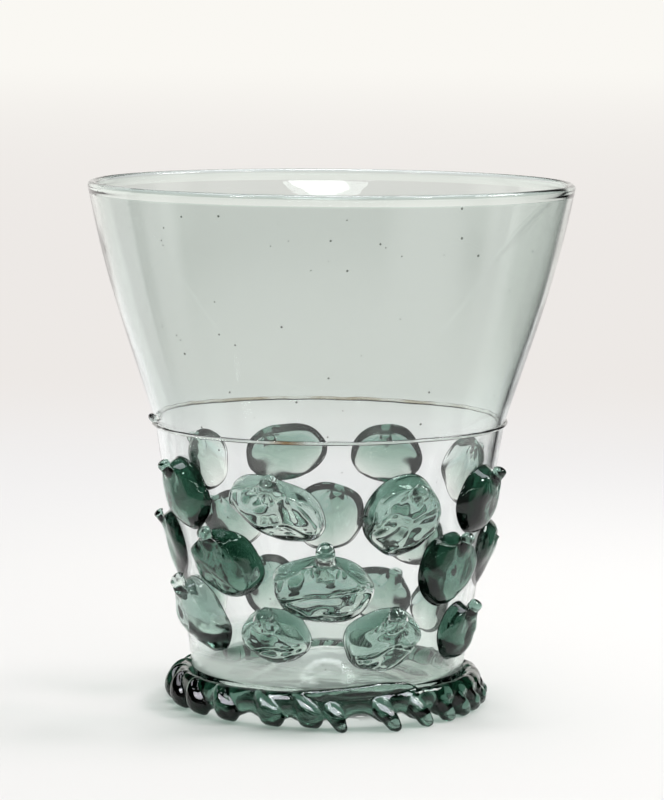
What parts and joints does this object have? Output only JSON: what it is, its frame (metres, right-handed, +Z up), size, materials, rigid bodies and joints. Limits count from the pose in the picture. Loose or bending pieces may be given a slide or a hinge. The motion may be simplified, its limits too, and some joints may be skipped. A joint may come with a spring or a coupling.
{
  "type": "prunted beaker",
  "caption": "Flared green glass drinking beaker with a waist thread, rows of drawn-out glass prunts and a pinched foot ring",
  "frame": {"origin": "middle of the plane that the foot's toes stand on", "axes": "+Z up through the middle of the bowl; -Y is the side that the picture shows, +X is to its right"},
  "size_m": [0.0924, 0.0924, 0.1],
  "materials": {
    "bowl_glass": "thin blown glass, fire-polished, faint grey-green tint with seeds and fine striae",
    "thread_glass": "fine trailed glass thread, glossy, with a rusty brown deposit in places",
    "foot_glass": "thick blue-green glass, glossy, tool marks from pinching",
    "prunt_glass": "thick blue-green glass, glossy, drawn folds running to a small nub"
  },
  "bodies": {
    "root": {"bowl": "bowl_glass", "pontil_scar": "bowl_glass", "waist_thread": "thread_glass", "foot_ring": "foot_glass", "prunt_top_1": "prunt_glass", "prunt_top_2": "prunt_glass", "prunt_top_3": "prunt_glass", "prunt_top_4": "prunt_glass", "prunt_top_5": "prunt_glass", "prunt_top_6": "prunt_glass", "prunt_top_7": "prunt_glass", "prunt_top_8": "prunt_glass", "prunt_middle_1": "prunt_glass", "prunt_middle_2": "prunt_glass", "prunt_middle_3": "prunt_glass", "prunt_middle_4": "prunt_glass", "prunt_middle_5": "prunt_glass", "prunt_middle_6": "prunt_glass", "prunt_middle_7": "prunt_glass", "prunt_middle_8": "prunt_glass", "prunt_lower_1": "prunt_glass", "prunt_lower_2": "prunt_glass", "prunt_lower_3": "prunt_glass", "prunt_lower_4": "prunt_glass", "prunt_lower_5": "prunt_glass", "prunt_lower_6": "prunt_glass", "prunt_lower_7": "prunt_glass", "prunt_lower_8": "prunt_glass"}
  },
  "joints": []
}
